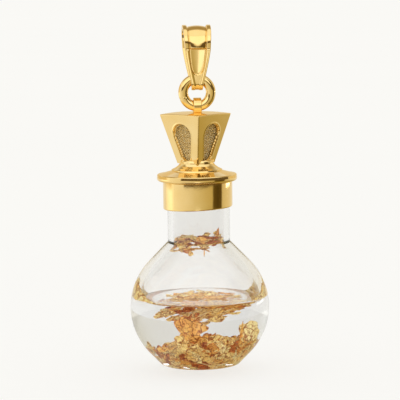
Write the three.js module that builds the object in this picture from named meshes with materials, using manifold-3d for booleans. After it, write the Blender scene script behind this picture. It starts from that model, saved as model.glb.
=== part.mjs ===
// A bottle pendant: a round glass flask of clear liquid and gold leaf, closed by a gold collar and a
// four-sided stopper, and hung from a tapered bail by a jump ring.
// Millimetres, +Z up. The origin is where a chain bears on the inside of the bail's top, X runs along
// that chain, and the pendant hangs straight down. The front is at -Y.

import * as THREE from "three";
import { mergeVertices } from "three/addons/utils/BufferGeometryUtils.js";
import Module from "manifold-3d";

const wasm = await Module();
wasm.setup();

// The bail: a strap bent into a loop, wide over the chain and narrow round the jump ring.
const bailLength = 6.86;
const bailWidth = 2.95;
const bailShoulderWidth = 2.7;
const bailFootWidth = 1.2;
const bailTaperBow = 1.25; // over 1, the strap's edges bow outwards as it tapers
const bailThickness = 0.44;
const bailTopRadius = 1.9;
const bailShoulderDrop = 0.55;
const bailShoulderRadius = 0.55;
const bailRimWidth = 0.46;
const bailPanelDepth = 0.17;
const bailPanelDome = 0.15;
const bailTongueLength = 2.75;
const bailEdgeRound = 0.06;

// The jump ring, and the play that it has in the bail and in the stopper's eye.
const ringRadius = 1.45;
const ringWire = 1.03;
const linkGap = 0.05;
const bailSideGap = 0.1;

// The stopper: an eye, a tapered square head with an egg-shaped pocket in each face, a flared foot on
// a round flange, and a plug in the flask's neck.
const eyeWidth = 0.84;
const eyeThickness = 0.25;
const headClearance = 0.1;
const headCrown = 0.16;
const headHeight = 5.04;
const headTopWidth = 5.44;
const headFootWidth = 2.96;
const headChamfer = 0.2;
const pocketTopMargin = 0.95;
const pocketLength = 4.12;
const pocketWidth = 2.4;
const pocketFootWidth = 1.35;
const pocketDepth = 0.32;
const neckRadius = 1.8;
const flareHeight = 1.3;
const flangeRadius = 4.23;
const flangeThickness = 0.7;
const flangeRound = 0.28;
const plugLength = 2.1;
const plugChamfer = 0.15;
const plugWall = 0.5;
const coreDepth = 2.3; // of the stopper's hollow, above the end of the plug

// The collar: a plain band round the flask's neck, under the flange.
const collarRadius = 3.66;
const collarHeight = 2.8;
const collarRound = 0.14;
const collarSeatGap = 0.06;

// The flask: a globe with a flat base and a straight neck. Its belly is an arc, and its shoulder and
// its foot run on straight from the arc's ends.
const globeRadius = 7.34;
const bellyShare = 0.94; // the belly arc's radius, as a share of the globe's
const flankLean = 44; // degrees that the belly arc runs above and below the globe's middle
const baseShare = 0.837; // the flat base's distance under the globe's centre, as a share of its radius
const baseRound = 0.7;
const flaskNeckRadius = 3.28;
const flaskNeckLength = 6.27; // from the flange's underside to the shoulder's fillet
const shoulderFillet = 0.35;
const globeWall = 0.8;
const neckWall = 0.6;
const floorThickness = 0.8;
const floorRound = 1.1;
const neckSeatGap = 0.15;
const cementGap = 0.06; // between the neck and the collar, and between the neck and the plug

// The liquid, and the leaf in it.
const liquidLevel = 1.06; // above the globe's centre
const meniscusRise = 0.2;
const meniscusWidth = 0.4;
const contentsGap = 0.06;
const heapHeight = 2.7; // of the heap's middle above the flask's floor
const heapRimHeight = 1.9; // of the heap's edge above the flask's floor
const heapRelief = 0.6; // how far leaves stand out of the heap's core
const leafThickness = 0.14;
const scrapLength = 2.4;
const scrapWidth = 1.7;
const scrapRuffle = 0.18;
const raftRadius = 3.6; // of the basin that the floating leaf fills in the liquid
const raftDepth = 1.9; // below the liquid's level
const raftHeight = 0.85; // above the liquid's level, with its scraps
const wallLeafRise = 2.3; // above the liquid's level
const wallLeafReach = 3.6; // from the pendant's axis to the tip of a leaf that clings to the wall
const neckLeafDrop = 6.7; // from the flange's underside to the leaf lodged in the neck
const neckLeafHeight = 0.95;

const roundSides = 36;
const linkSides = 36;
const cutTidy = 0.003; // slivers smaller than this go from the joined and cut pieces
const leafTidy = 0.02;

// Heights down the pendant, each worked out from the piece above it.
const bailCrest = bailThickness;
const bailTopCentre = bailCrest - bailTopRadius;
const bailShoulder = bailTopCentre - bailShoulderDrop;
const bailFoot = bailCrest - bailLength;
const bailFootRadius = ringWire / 2 + bailSideGap + bailThickness;
const ringInside = ringRadius - ringWire / 2;
// How far the ring's inside rises across a strap that lies square in it.
const ringBow = (strapWidth) => ringInside - Math.sqrt(ringInside ** 2 - (strapWidth / 2) ** 2);
const ringTop = bailFoot + bailThickness + ringBow(bailFootWidth) + linkGap + ringWire / 2;
const ringCentre = ringTop - ringRadius;
const ringBottom = ringCentre - ringRadius;
const eyeInside = ringWire / 2 + ringBow(eyeWidth) + linkGap;
const headApex = ringBottom - ringWire / 2 - headClearance;
const headTop = headApex - headCrown;
const headFoot = headTop - headHeight;
const flangeTop = headFoot - flareHeight;
const flangeUnderside = flangeTop - flangeThickness;
const collarTop = flangeUnderside - collarSeatGap;
const flaskMouth = flangeUnderside - neckSeatGap;
const bellyRadius = globeRadius * bellyShare;
const bellyCentre = globeRadius - bellyRadius;
const flankSin = Math.sin(THREE.MathUtils.degToRad(flankLean));
const flankCos = Math.cos(THREE.MathUtils.degToRad(flankLean));
const shoulderHeight =
  (bellyCentre * flankCos + bellyRadius + shoulderFillet - (flaskNeckRadius + shoulderFillet) * flankCos) /
  flankSin;
const globeCentre = flangeUnderside - flaskNeckLength - shoulderHeight;
const baseDrop = globeRadius * baseShare;
const flaskBase = globeCentre - baseDrop;
const flaskFloor = flaskBase + floorThickness;
const liquidTop = globeCentre + liquidLevel;
const neckLeafCentre = flangeUnderside - neckLeafDrop;

const boreRadius = flaskNeckRadius - neckWall;

// A closed geometry as a solid for joining and cutting.
function solid(geometry) {
  const bare = geometry.index ? geometry.toNonIndexed() : geometry.clone();
  bare.deleteAttribute("normal");
  bare.deleteAttribute("uv");
  const merged = mergeVertices(bare, 1e-4);
  return new wasm.Manifold(
    new wasm.Mesh({
      numProp: 3,
      vertProperties: merged.attributes.position.array,
      triVerts: new Uint32Array(merged.index.array),
    }),
  );
}

// A solid as a geometry for a mesh, without slivers.
function geometryOf(manifold) {
  const { vertProperties, triVerts } = manifold.simplify(cutTidy).getMesh();
  const geometry = new THREE.BufferGeometry();
  geometry.setAttribute("position", new THREE.BufferAttribute(vertProperties, 3));
  geometry.setIndex(new THREE.BufferAttribute(triVerts, 1));
  const flat = geometry.toNonIndexed();
  flat.computeVertexNormals();
  return flat;
}

// Points on an arc in a profile's plane. Angles are in degrees from the first axis.
function arc(centreX, centreY, radius, from, to, steps) {
  return Array.from({ length: steps + 1 }, (_, i) => {
    const angle = THREE.MathUtils.degToRad(from + ((to - from) * i) / steps);
    return new THREE.Vector2(centreX + radius * Math.cos(angle), centreY + radius * Math.sin(angle));
  });
}

// A solid of revolution about Z from points (radius, height), listed upwards on the outside.
function lathe(profile, sides = roundSides) {
  return new THREE.LatheGeometry(profile, sides).rotateX(Math.PI / 2);
}

// A closed surface through rings of equally many points, capped at its ends unless it is looped.
function skin(rings, looped = false) {
  const count = rings[0].length;
  const points = rings.flat();
  const faces = [];
  const spans = looped ? rings.length : rings.length - 1;
  for (let i = 0; i < spans; i++) {
    for (let j = 0; j < count; j++) {
      const a = i * count + j;
      const b = i * count + ((j + 1) % count);
      const c = ((i + 1) % rings.length) * count + ((j + 1) % count);
      const d = ((i + 1) % rings.length) * count + j;
      faces.push(a, b, c, a, c, d);
    }
  }
  if (!looped) {
    const ends = [
      [rings[0], 0, true],
      [rings.at(-1), (rings.length - 1) * count, false],
    ];
    for (const [ring, start, turned] of ends) {
      const centre = ring.reduce((sum, p) => sum.add(p), new THREE.Vector3()).divideScalar(count);
      const hub = points.push(centre) - 1;
      for (let j = 0; j < count; j++) {
        const next = start + ((j + 1) % count);
        faces.push(hub, ...(turned ? [next, start + j] : [start + j, next]));
      }
    }
  }
  const geometry = new THREE.BufferGeometry().setFromPoints(points);
  geometry.setIndex(faces);
  return geometry;
}

// The bail's outer line in its side view, from the crest down the front to the foot: points with the
// outward direction at each. It is the hull of the top arc, a small shoulder arc and the foot's arc.
function bailLine() {
  const shoulder = new THREE.Vector2(bailShoulderRadius - bailTopRadius, bailShoulder);
  const foot = new THREE.Vector2(0, bailFoot + bailFootRadius);
  const between = shoulder.clone().sub(foot);
  const lean =
    THREE.MathUtils.radToDeg(between.angle()) +
    THREE.MathUtils.radToDeg(Math.acos((bailFootRadius - bailShoulderRadius) / between.length()));
  const arcs = [
    { centre: new THREE.Vector2(0, bailTopCentre), radius: bailTopRadius, from: 90, to: 180, steps: 8 },
    { centre: shoulder, radius: bailShoulderRadius, from: 180, to: lean, steps: 2 },
    { centre: foot, radius: bailFootRadius, from: lean, to: 270, steps: 6 },
  ];
  const line = [];
  for (const { centre, radius, from, to, steps } of arcs) {
    for (let i = 0; i <= steps; i++) {
      const angle = THREE.MathUtils.degToRad(from + ((to - from) * i) / steps);
      const out = new THREE.Vector2(Math.cos(angle), Math.sin(angle));
      line.push({ at: centre.clone().addScaledVector(out, radius), out });
    }
  }
  // The long slanted face gets stations of its own, so that the tongue's round end has a shape.
  const faceSteps = 9;
  const faceStart = line.findLastIndex(({ at }) => at.y > foot.y + bailFootRadius);
  const { at: high, out } = line[faceStart];
  const { at: low } = line[faceStart + 1];
  const face = Array.from({ length: faceSteps - 1 }, (_, i) => ({
    at: high.clone().lerp(low, (i + 1) / faceSteps),
    out,
  }));
  line.splice(faceStart + 1, 0, ...face);
  return line;
}

// The strap's section at one station: rims at both edges and a panel between them, which is domed
// over the chain and sunk as a tongue on the slanted face.
function bailSection({ at, out }, side) {
  const { lerp, inverseLerp, clamp } = THREE.MathUtils;
  const taper = clamp(inverseLerp(bailShoulder, bailFoot + bailThickness, at.y), 0, 1) ** bailTaperBow;
  const top = clamp(inverseLerp(bailCrest, bailShoulder, at.y), 0, 1);
  const half = lerp(lerp(bailWidth, bailShoulderWidth, top), bailFootWidth, taper) / 2;
  const tongue = clamp((bailShoulder - at.y) / bailTongueLength, 0, 1);
  const sunk = tongue < 1 ? bailPanelDepth : 0;
  const dome = at.y >= bailShoulder ? bailPanelDome : 0;
  const panel = (half - bailRimWidth) * Math.sqrt(1 - tongue ** 8);
  const inner = Math.max(panel, bailEdgeRound);
  const across = [
    [half, bailEdgeRound],
    [half - bailEdgeRound, 0],
    [inner + bailEdgeRound / 2, 0],
    [inner, sunk],
    [0, sunk - dome],
    [-inner, sunk],
    [-inner - bailEdgeRound / 2, 0],
    [-half + bailEdgeRound, 0],
    [-half, bailEdgeRound],
    [-half, bailThickness],
    [half, bailThickness],
  ];
  return across.map(
    ([x, depth]) => new THREE.Vector3(x, side * (at.x - out.x * depth), at.y - out.y * depth),
  );
}

function bailGeometry() {
  const front = bailLine();
  const back = front.slice(1, -1).reverse();
  const rings = [
    ...front.map((station) => bailSection(station, 1)),
    ...back.map((station) => bailSection(station, -1)),
  ];
  return geometryOf(solid(skin(rings, true)));
}

function ringGeometry() {
  return new THREE.TorusGeometry(ringRadius, ringWire / 2, 12, linkSides).rotateX(Math.PI / 2);
}

// The eye that the jump ring passes through: a flat band bent round the ring's wire, about the X axis.
function eyeGeometry() {
  const outside = eyeInside + eyeThickness;
  const half = eyeWidth / 2;
  const round = eyeThickness / 3;
  const band = [
    [eyeInside, -half],
    [outside - round, -half],
    [outside, -half + round],
    [outside, half - round],
    [outside - round, half],
    [eyeInside, half],
    [eyeInside, -half],
  ].map(([radius, x]) => new THREE.Vector2(radius, x));
  return new THREE.LatheGeometry(band, 24).rotateZ(-Math.PI / 2);
}

// A square with cut corners, its corners pointing along X and Y.
function headRing(width, height) {
  const reach = width / Math.SQRT2;
  const cut = headChamfer / 2;
  const corner = [new THREE.Vector3(reach - cut, -cut, height), new THREE.Vector3(reach - cut, cut, height)];
  const up = new THREE.Vector3(0, 0, 1);
  return [0, 1, 2, 3].flatMap((k) => corner.map((p) => p.clone().applyAxisAngle(up, (k * Math.PI) / 2)));
}

// The outline of a pocket: a wide disc above a narrow one and their common tangents, below the origin.
function pocketShape() {
  const wide = pocketWidth / 2;
  const narrow = pocketFootWidth / 2;
  const span = pocketLength - wide - narrow;
  const lean = THREE.MathUtils.radToDeg(Math.asin((wide - narrow) / span));
  return new THREE.Shape([
    ...arc(0, -wide, wide, -lean, 180 + lean, 14),
    ...arc(0, narrow - pocketLength, narrow, 180 + lean, 360 - lean, 8),
  ]);
}

// The four pockets, as solids that stand out of the head's faces and reach in to the pockets' floors.
function pocketTools() {
  const spare = 1;
  const tool = new THREE.ExtrudeGeometry(pocketShape(), {
    depth: pocketDepth + spare,
    bevelEnabled: false,
  });
  const run = (headTopWidth - headFootWidth) / 2;
  const slant = Math.atan2(run, headHeight);
  tool.translate(0, -pocketTopMargin, -pocketDepth);
  tool.rotateX(Math.PI / 2 + slant).translate(0, -headTopWidth / 2, headTop);
  return [45, 135, 225, 315].map((turn) => solid(tool.clone().rotateZ(THREE.MathUtils.degToRad(turn))));
}

function headSolid() {
  const slope = (headTopWidth - headFootWidth) / headHeight;
  const body = skin([
    headRing(headFootWidth, headFoot),
    headRing(headTopWidth + slope * headCrown, headApex),
  ]);
  const corner = headTopWidth / Math.SQRT2;
  const domeRadius = (corner ** 2 + headCrown ** 2) / (2 * headCrown);
  const spread = THREE.MathUtils.radToDeg(Math.asin((corner + headCrown) / domeRadius));
  const dome = lathe(
    [
      new THREE.Vector2(0, headFoot - headCrown),
      new THREE.Vector2(corner + headCrown, headFoot - headCrown),
      ...arc(0, headApex - domeRadius, domeRadius, 90 - spread, 90, 6),
    ],
    32,
  );
  return pocketTools().reduce((head, pocket) => head.subtract(pocket), solid(body).intersect(solid(dome)));
}

// The foot's flare in two tiers. out is a share of the way from the neck's radius to the flange's, and
// down is a share of the flare's height.
const flareTiers = [
  { out: 0.0, down: 0.12 },
  { out: 0.07, down: 0.3 },
  { out: 0.2, down: 0.48 },
  { out: 0.36, down: 0.62 },
  { out: 0.37, down: 0.72 },
  { out: 0.45, down: 0.76 },
  { out: 0.66, down: 0.87 },
  { out: 0.9, down: 1.0 },
];

// The turned part of the stopper, from the hollow plug up to the neck that carries the head.
function footGeometry() {
  const plugRadius = boreRadius - cementGap;
  const plugEnd = flangeUnderside - plugLength;
  const rim = flangeRadius - flangeRound;
  const flare = flareTiers.map(
    ({ out, down }) =>
      new THREE.Vector2(neckRadius + (flangeRadius - neckRadius) * out, headFoot - flareHeight * down),
  );
  return lathe([
    new THREE.Vector2(0, plugEnd + coreDepth),
    new THREE.Vector2(plugRadius - plugWall, plugEnd + coreDepth),
    new THREE.Vector2(plugRadius - plugWall, plugEnd),
    new THREE.Vector2(plugRadius - plugChamfer, plugEnd),
    new THREE.Vector2(plugRadius, plugEnd + plugChamfer),
    new THREE.Vector2(plugRadius, flangeUnderside),
    ...arc(rim, flangeUnderside + flangeRound, flangeRound, -90, 0, 3),
    ...arc(rim, flangeTop - flangeRound, flangeRound, 0, 90, 3),
    ...flare.toReversed(),
    new THREE.Vector2(neckRadius, headFoot + headChamfer),
    new THREE.Vector2(0, headFoot + headChamfer),
  ]);
}

function stopperGeometry() {
  const eye = solid(eyeGeometry().translate(0, 0, ringBottom));
  return geometryOf(headSolid().add(solid(footGeometry())).add(eye));
}

function collarGeometry() {
  const inside = flaskNeckRadius + cementGap;
  const foot = collarTop - collarHeight;
  const rim = collarRadius - collarRound;
  return lathe([
    new THREE.Vector2(inside, foot),
    ...arc(rim, foot + collarRound, collarRound, -90, 0, 2),
    new THREE.Vector2(collarRadius, collarTop),
    new THREE.Vector2(inside, collarTop),
    new THREE.Vector2(inside, foot),
  ]);
}

// A globe's profile, inset from the outside, from the middle of its flat foot up to the end of its
// fillet into a neck.
function globeLine({ inset, foot, footRound, neck, fillet }) {
  const belly = bellyRadius - inset;
  const flank = bellyCentre * flankCos + belly;
  const footCentre = (flank - footRound - (foot - footRound) * flankSin) / flankCos;
  const filletHeight = (flank + fillet - (neck + fillet) * flankCos) / flankSin;
  return [
    new THREE.Vector2(0, globeCentre - foot),
    ...arc(footCentre, globeCentre - foot + footRound, footRound, -90, -flankLean, 3),
    ...arc(bellyCentre, globeCentre, belly, -flankLean, flankLean, 11),
    ...arc(neck + fillet, globeCentre + filletHeight, fillet, 180 + flankLean, 180, 3),
  ];
}

// The flask's hollow, taken in by a clearance for what lies in it.
function cavityLine(clearance = 0) {
  return globeLine({
    inset: globeWall + clearance,
    foot: baseDrop - floorThickness - clearance,
    footRound: floorRound,
    neck: boreRadius - clearance,
    fillet: shoulderFillet + neckWall + clearance,
  });
}

function flaskGeometry() {
  const outside = globeLine({
    inset: 0,
    foot: baseDrop,
    footRound: baseRound,
    neck: flaskNeckRadius,
    fillet: shoulderFillet,
  });
  return lathe([
    ...outside,
    new THREE.Vector2(flaskNeckRadius, flaskMouth),
    new THREE.Vector2(boreRadius, flaskMouth),
    ...cavityLine().toReversed(),
  ]);
}

// The heap's upper line from the globe's wall in to the axis, raised by a clearance above its leaves.
function heapLine(rise) {
  const shares = [1, 0.8, 0.6, 0.4, 0.2, 0];
  const edge = flaskFloor + heapRimHeight + rise;
  const middle = flaskFloor + heapHeight + rise;
  return shares.map((share) => new THREE.Vector2(share * wallAt(edge), middle + (edge - middle) * share ** 2));
}

// The radius of the flask's hollow at a height, less the clearance that its contents keep.
function wallAt(height) {
  const belly = bellyRadius - globeWall - contentsGap;
  const rise = Math.abs(height - globeCentre);
  if (rise < belly * flankSin) return bellyCentre + Math.sqrt(belly ** 2 - rise ** 2);
  return (bellyCentre * flankCos + belly - rise * flankSin) / flankCos;
}

// The basin's line from its rim on the liquid in to the axis, raised by a clearance.
function basinLine(rise = 0) {
  return [1, 0.8, 0.6, 0.4, 0.2, 0].map(
    (share) => new THREE.Vector2(share * raftRadius, liquidTop + rise - raftDepth * (1 - share ** 2)),
  );
}

// The liquid's upper line from its meniscus on the wall in to the axis, raised by a clearance.
function liquidLine(rise = 0) {
  const wall = wallAt(liquidTop + meniscusRise + rise);
  const meniscus = [1, 0.97, 0.93, 0.86].map((share) => {
    const climb = meniscusRise * Math.exp((-wall * (1 - share)) / meniscusWidth);
    return new THREE.Vector2(share * wall, liquidTop + rise + climb);
  });
  return [...meniscus, ...basinLine(rise)];
}

// The part of the flask's wall between two heights, as the contents meet it.
function wallLine(low, high, steps) {
  return Array.from({ length: steps + 1 }, (_, i) => {
    const height = low + ((high - low) * i) / steps;
    return new THREE.Vector2(wallAt(height), height);
  });
}

function liquidGeometry() {
  const under = heapLine(heapRelief + contentsGap).toReversed();
  const over = liquidLine();
  const wall = wallLine(under.at(-1).y, over[0].y, 9).slice(1, -1);
  return lathe([...under, ...wall, ...over]);
}

// One crumpled scrap of leaf of an even thickness, lying flat about the origin.
function scrapGeometry({ length, width, thickness, ruffle, phase }) {
  const points = 7;
  const sheet = (height) =>
    [1, 0.55].map((share) =>
      Array.from({ length: points }, (_, j) => {
        const angle = (2 * Math.PI * j) / points;
        const reach = (share * (1 + 0.24 * Math.sin(2.3 * j + phase))) / 2;
        const lift = ruffle * share * Math.sin(3 * angle + phase + 4 * share);
        return new THREE.Vector3(
          length * reach * Math.cos(angle),
          width * reach * Math.sin(angle),
          lift + height,
        );
      }),
    );
  const [underEdge, underMiddle] = sheet(-thickness / 2);
  const [overEdge, overMiddle] = sheet(thickness / 2);
  return skin([underMiddle, underEdge, overEdge, overMiddle]);
}

// Leaf as a geometry of one body: trimming can cut the corner of a scrap loose.
function leafGeometry(manifold) {
  const bodies = manifold.simplify(leafTidy).decompose();
  return geometryOf(bodies.reduce((best, body) => (body.volume() > best.volume() ? body : best)));
}

// Scraps spread evenly round the axis by the golden angle, as one solid. spread gives each scrap's
// place for its share of the way from the middle to the edge.
function scatter({ count, tilt, spread }) {
  const goldenAngle = Math.PI * (3 - Math.sqrt(5));
  const scraps = Array.from({ length: count }, (_, i) => {
    const { radius, height } = spread((i + 0.5) / count);
    const angle = i * goldenAngle;
    const wobble = 1 + 0.2 * Math.sin(3.7 * i);
    const scrap = scrapGeometry({
      length: scrapLength * wobble,
      width: scrapWidth / wobble,
      thickness: leafThickness,
      ruffle: scrapRuffle,
      phase: 1.9 * i,
    });
    scrap.rotateX(tilt * Math.sin(2.1 * i)).rotateY(tilt * Math.cos(1.3 * i)).rotateZ(2.4 * i);
    scrap.translate(radius * Math.cos(angle), radius * Math.sin(angle), height);
    return solid(scrap);
  });
  return wasm.Manifold.union(scraps);
}

// The settled leaf: a core that fills the flask's foot, with scraps standing out of its surface.
function heapGeometry() {
  const top = heapLine(0);
  const edge = top[0].y;
  const floor = cavityLine(contentsGap).filter((p) => p.y < edge);
  const core = solid(lathe([...floor, ...top], 24));
  const lid = heapLine(heapRelief);
  const roomFloor = cavityLine(contentsGap).filter((p) => p.y < lid[0].y);
  const room = solid(lathe([...roomFloor, ...lid], 24));
  const scraps = scatter({
    count: 15,
    tilt: 0.75,
    spread: (share) => {
      const reach = Math.sqrt(share) * 0.86;
      const height = flaskFloor + THREE.MathUtils.lerp(heapHeight, heapRimHeight, reach ** 2);
      return { radius: reach * wallAt(edge), height: height + leafThickness };
    },
  });
  return leafGeometry(core.add(scraps).intersect(room));
}

// The leaf afloat on the liquid: a tangle that fills the basin, with scraps lying over it.
function raftGeometry() {
  const under = liquidLine(contentsGap).toReversed();
  const over = liquidTop + raftHeight;
  const room = solid(lathe([...under, new THREE.Vector2(wallAt(over), over), new THREE.Vector2(0, over)]));
  const tangleTop = liquidTop + raftHeight / 2;
  const basin = basinLine(2 * contentsGap);
  const tangle = lathe(
    [...basin.slice(1).toReversed(), new THREE.Vector2(basin[1].x, tangleTop), new THREE.Vector2(0, tangleTop)],
    24,
  );
  const scraps = scatter({
    count: 7,
    tilt: 0.12,
    spread: (share) => ({ radius: raftRadius * Math.sqrt(share) * 0.8, height: tangleTop }),
  });
  return leafGeometry(solid(tangle).add(scraps).intersect(room));
}

// The leaf lodged across the foot of the neck: a tangle that spans the bore, with scraps standing out
// of it above and below.
function neckLeafGeometry() {
  const profile = [
    ...cavityLine(contentsGap),
    new THREE.Vector2(boreRadius - contentsGap, flaskMouth),
    new THREE.Vector2(0, flaskMouth),
  ];
  const room = solid(lathe(profile, 24));
  const half = neckLeafHeight / 4;
  const tangle = lathe(
    [
      new THREE.Vector2(0, neckLeafCentre - half),
      new THREE.Vector2(boreRadius * 0.7, neckLeafCentre - half),
      new THREE.Vector2(boreRadius * 0.95, neckLeafCentre),
      new THREE.Vector2(boreRadius * 0.7, neckLeafCentre + half),
      new THREE.Vector2(0, neckLeafCentre + half),
    ],
    24,
  );
  const scraps = scatter({
    count: 8,
    tilt: 0.35,
    spread: (share) => ({
      radius: boreRadius * 0.72 * Math.sqrt(share),
      height: neckLeafCentre + (neckLeafHeight / 2) * Math.sin(9 * share),
    }),
  });
  return leafGeometry(solid(tangle).add(scraps).intersect(room));
}

// A leaf that clings to the globe's wall beside the liquid, tallest at the side and tapering to a tip
// round the front and the back. side is -1 on the left and 1 on the right.
function wallLeafGeometry(side) {
  const low = liquidTop + meniscusRise + contentsGap;
  const high = liquidTop + wallLeafRise;
  const outside = wallLine(low, high, 6);
  const inside = outside.map((p) => p.clone().add(new THREE.Vector2(-leafThickness, 0)));
  const shell = solid(lathe([...outside, ...inside.toReversed(), outside[0].clone()]));
  const crescent = new THREE.Shape([
    new THREE.Vector2(wallLeafReach, low - contentsGap),
    new THREE.Vector2(globeRadius, low - contentsGap),
    new THREE.Vector2(globeRadius, high + contentsGap),
    new THREE.Vector2(wallAt(high) - leafThickness / 2, high + contentsGap),
    new THREE.Vector2(wallAt(high) - leafThickness * 3, THREE.MathUtils.lerp(low, high, 0.4)),
    new THREE.Vector2((wallLeafReach + wallAt(low)) / 2, THREE.MathUtils.lerp(low, high, 0.14)),
  ]);
  const prism = new THREE.ExtrudeGeometry(crescent, { depth: 2 * globeRadius, bevelEnabled: false });
  prism.translate(0, 0, -globeRadius).rotateX(Math.PI / 2);
  if (side < 0) prism.rotateZ(Math.PI);
  return geometryOf(shell.intersect(solid(prism)));
}

const gold = new THREE.MeshStandardMaterial({ color: 0xe2b866, metalness: 1, roughness: 0.16 });
const leaf = new THREE.MeshStandardMaterial({ color: 0xcf9a45, metalness: 1, roughness: 0.35 });
const glass = new THREE.MeshStandardMaterial({
  color: 0xf4f2ee,
  roughness: 0.02,
  transparent: true,
  opacity: 0.25,
});
const liquid = new THREE.MeshStandardMaterial({
  color: 0xf2eee4,
  roughness: 0.02,
  transparent: true,
  opacity: 0.2,
});

function piece(name, geometry, material) {
  const mesh = new THREE.Mesh(geometry, material);
  mesh.name = name;
  return mesh;
}

const bail = piece("bail", bailGeometry(), gold);
const jumpRing = piece("jump_ring", ringGeometry(), gold);
jumpRing.position.z = ringCentre;

const drop = new THREE.Group();
drop.add(
  piece("stopper", stopperGeometry(), gold),
  piece("collar", collarGeometry(), gold),
  piece("flask", flaskGeometry(), glass),
  piece("liquid", liquidGeometry(), liquid),
  piece("leaf_heap", heapGeometry(), leaf),
  piece("leaf_raft", raftGeometry(), leaf),
  piece("leaf_neck", neckLeafGeometry(), leaf),
  piece("leaf_wall_left", wallLeafGeometry(-1), leaf),
  piece("leaf_wall_right", wallLeafGeometry(1), leaf),
);

const pendant = new THREE.Group();
pendant.add(bail, jumpRing, drop);

export default pendant;
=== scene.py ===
"""A bottle pendant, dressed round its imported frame: a round glass flask of liquid and gold leaf, a gold
collar and stopper, a jump ring and a tapered bail. Metres, +Z up, the front at -Y. Shapes are worked
out in millimetres and scaled once, where their meshes are made."""

import math
import random

import bpy
import numpy as np
from mathutils import Euler, Matrix, Vector, noise


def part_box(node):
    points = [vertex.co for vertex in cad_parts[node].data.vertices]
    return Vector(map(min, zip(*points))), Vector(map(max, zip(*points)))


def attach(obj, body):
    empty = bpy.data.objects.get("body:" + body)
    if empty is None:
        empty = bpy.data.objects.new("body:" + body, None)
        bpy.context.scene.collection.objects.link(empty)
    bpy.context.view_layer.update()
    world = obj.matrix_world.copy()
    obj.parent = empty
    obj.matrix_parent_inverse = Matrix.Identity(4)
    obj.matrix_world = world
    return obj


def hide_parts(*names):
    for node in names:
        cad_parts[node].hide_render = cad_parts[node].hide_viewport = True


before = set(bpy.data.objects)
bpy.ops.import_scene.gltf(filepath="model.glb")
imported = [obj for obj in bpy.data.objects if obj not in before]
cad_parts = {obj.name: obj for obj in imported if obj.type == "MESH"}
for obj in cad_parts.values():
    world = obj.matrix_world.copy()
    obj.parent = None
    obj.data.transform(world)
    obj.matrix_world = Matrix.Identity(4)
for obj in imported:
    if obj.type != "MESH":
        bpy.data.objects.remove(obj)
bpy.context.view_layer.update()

MM = 0.001


def box_mm(node):
    """A CAD node's lowest and highest corners in millimetres."""
    low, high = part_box(node)
    return low / MM, high / MM


bail_low, bail_high = box_mm("bail")
ring_low, ring_high = box_mm("jump_ring")
stopper_low, stopper_high = box_mm("stopper")
collar_low, collar_high = box_mm("collar")
flask_low, flask_high = box_mm("flask")

# Bail, in millimetres.
BAIL_THICKNESS = 0.44
BAIL_TOP_RADIUS = bail_high.y
BAIL_SHOULDER_DROP = 0.55
BAIL_SHOULDER_RADIUS = 0.55
BAIL_FOOT_RADIUS = 1.055
BAIL_HALF_WIDTH = bail_high.x
BAIL_SHOULDER_HALF = 1.35
BAIL_FOOT_HALF = 0.6
BAIL_TAPER_BOW = 1.25
BAIL_RIM_WIDTH = 0.46
BAIL_PANEL_DEPTH = 0.17
BAIL_PANEL_DOME = 0.15
BAIL_PANEL_SWELL = 0.9
BAIL_CREASE = 0.17
BAIL_TONGUE_LENGTH = 2.75
BAIL_EDGE_ROUND = 0.09
BAIL_GROOVE = 0.07  # between a rim and the panel
BAIL_HOLLOW = 0.07  # of the tongue, along its middle

# Jump ring and eye.
RING_WIRE_RADIUS = ring_high.y
RING_RADIUS = ring_high.x - RING_WIRE_RADIUS
RING_CENTRE = (ring_low.z + ring_high.z) / 2
RING_BOTTOM = RING_CENTRE - RING_RADIUS
EYE_OUTSIDE = stopper_high.z - RING_BOTTOM
EYE_THICKNESS = 0.25
EYE_HALF_WIDTH = 0.42

# Stopper.
HEAD_CLEARANCE = 0.1
HEAD_APEX = RING_BOTTOM - RING_WIRE_RADIUS - HEAD_CLEARANCE
HEAD_CROWN = 0.16
HEAD_TOP = HEAD_APEX - HEAD_CROWN
HEAD_HEIGHT = 5.04
HEAD_FOOT = HEAD_TOP - HEAD_HEIGHT
HEAD_TOP_HALF = 2.72
HEAD_FOOT_HALF = 1.48
HEAD_CORNER_ROUND = 0.14
HEAD_EDGE_ROUND = 0.09
HEAD_INSET = 0.03
HEAD_SHIFT = -0.2
FOOT_SHIFT = -0.12
POCKET_TOP_MARGIN = 0.95
POCKET_LENGTH = 4.12
POCKET_HALF = 1.2
POCKET_FOOT_HALF = 0.675
POCKET_DEPTH = 0.32
POCKET_WALL = 0.1
POCKET_LIP = 0.03
NECK_RADIUS = 1.8
FLARE_HEIGHT = 1.3
FLANGE_RADIUS = stopper_high.x
FLANGE_THICKNESS = 0.7
FLANGE_TOP = HEAD_FOOT - FLARE_HEIGHT
FLANGE_UNDER = FLANGE_TOP - FLANGE_THICKNESS
FLANGE_ROUND = 0.26
PLUG_RADIUS = 2.62
PLUG_WALL = 0.5
CORE_DEPTH = 2.3
COLLAR_LEAN = math.tan(math.radians(2.2))
CEMENT_GAP = 0.06

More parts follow.
